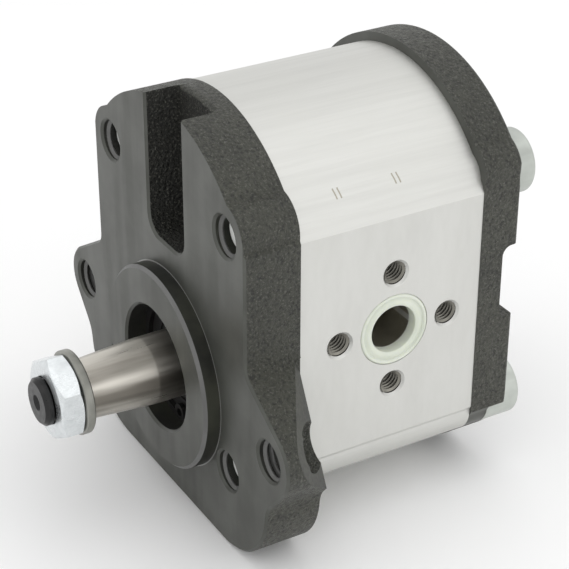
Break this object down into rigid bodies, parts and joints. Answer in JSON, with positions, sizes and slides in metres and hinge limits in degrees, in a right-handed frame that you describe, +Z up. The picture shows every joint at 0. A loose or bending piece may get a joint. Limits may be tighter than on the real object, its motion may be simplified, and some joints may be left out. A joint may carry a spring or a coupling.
{
  "type": "hydraulic gear pump",
  "caption": "External gear pump with a cast mounting flange and cover, an extruded aluminium body with flanged side ports, and a tapered, threaded drive shaft with nut.",
  "frame": {"origin": "on the drive shaft's axis, in the mounting face of the front flange", "axes": "-Y out along the drive shaft, +X towards the pressure port, +Z up from the drive gear to the driven gear"},
  "size_m": [0.1146, 0.1155, 0.1077],
  "materials": {
    "cast_iron": "as cast with a dark phosphate coat, faces machined",
    "body_aluminium": "extruded and satin, pale",
    "block_aluminium": "machined die casting",
    "ground_steel": "ground and hardened, blackened thread",
    "zinc_steel": "bright zinc plated",
    "bolt_steel": "pale zinc plated",
    "spring_steel": "bare spring steel",
    "black_steel": "phosphated",
    "bronze": "sintered bronze lining",
    "seal_rubber": "matt",
    "backup_plastic": "natural",
    "port_plastic": "translucent ivory, moulded"
  },
  "bodies": {
    "casing": {"front_flange": "cast_iron", "pump_body": "body_aluminium", "rear_cover": "cast_iron", "front_bearing_block": "block_aluminium", "rear_bearing_block": "block_aluminium", "drive_front_sleeve": "bronze", "drive_rear_sleeve": "bronze", "driven_front_sleeve": "bronze", "driven_rear_sleeve": "bronze", "front_body_seal": "seal_rubber", "rear_body_seal": "seal_rubber", "front_pressure_seal": "seal_rubber", "rear_pressure_seal": "seal_rubber", "front_backup_ring": "backup_plastic", "rear_backup_ring": "backup_plastic", "shaft_seal_case": "black_steel", "shaft_seal_lip": "seal_rubber", "garter_spring": "spring_steel", "seal_retaining_ring": "black_steel", "body_bolts": "bolt_steel", "front_dowel_pins": "spring_steel", "rear_dowel_pins": "spring_steel", "pressure_port_ring": "port_plastic", "suction_port_ring": "port_plastic"},
    "drive": {"drive_gear_shaft": "ground_steel", "shaft_key": "black_steel", "lock_washer": "spring_steel", "shaft_nut": "zinc_steel"},
    "driven": {"driven_gear_shaft": "ground_steel"}
  },
  "joints": [
    {"name": "drive_spin", "type": "hinge", "parent": "casing", "child": "drive", "pos_m": [0, 0, 0], "axis": [0, -1, 0], "continuous": true},
    {"name": "driven_spin", "type": "hinge", "parent": "casing", "child": "driven", "pos_m": [0, 0, 0.034], "axis": [0, -1, 0], "continuous": true}
  ],
  "couplings": [
    {"joint": "driven_spin", "follows": "drive_spin", "ratio": -1}
  ]
}
